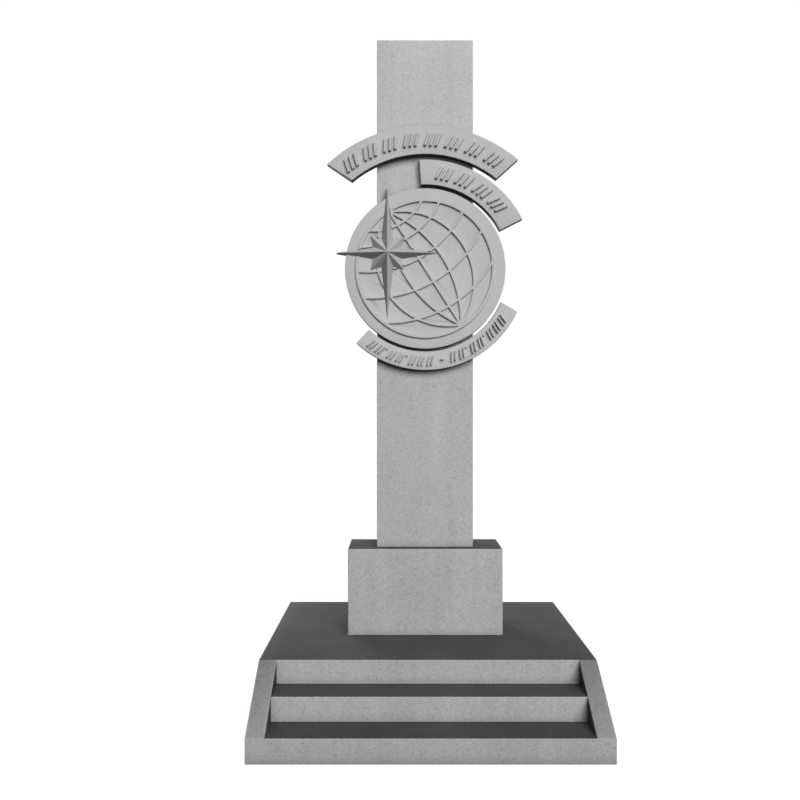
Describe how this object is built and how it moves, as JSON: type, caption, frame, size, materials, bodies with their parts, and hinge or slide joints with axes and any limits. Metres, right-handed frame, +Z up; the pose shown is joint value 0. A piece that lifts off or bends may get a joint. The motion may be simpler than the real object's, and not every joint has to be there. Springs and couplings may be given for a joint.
{
  "type": "memorial pillar",
  "caption": "Tall rectangular stone stele on a plinth and stepped platform, with a raised globe disc, compass star and curved inscription banners on its front.",
  "frame": {"origin": "middle of the base's underside", "axes": "+Z up, the front with the emblem faces -Y, +X to the right seen from the front"},
  "size_m": [2.13, 2.31, 4.622],
  "materials": {
    "base_granite": "fine-grained grey granite, flamed treads and sawn risers",
    "plinth_granite": "fine-grained grey granite, honed",
    "pillar_granite": "fine-grained grey granite, honed",
    "painted_casting": "sand-cast, matt grey stone paint",
    "star_casting": "sand-cast, filed facets, matt grey stone paint"
  },
  "bodies": {
    "root": {"stepped_base": "base_granite", "plinth": "plinth_granite", "pillar": "pillar_granite", "globe_disc": "painted_casting", "compass_star": "star_casting", "upper_banner": "painted_casting", "short_banner": "painted_casting", "lower_banner": "painted_casting"}
  },
  "joints": []
}
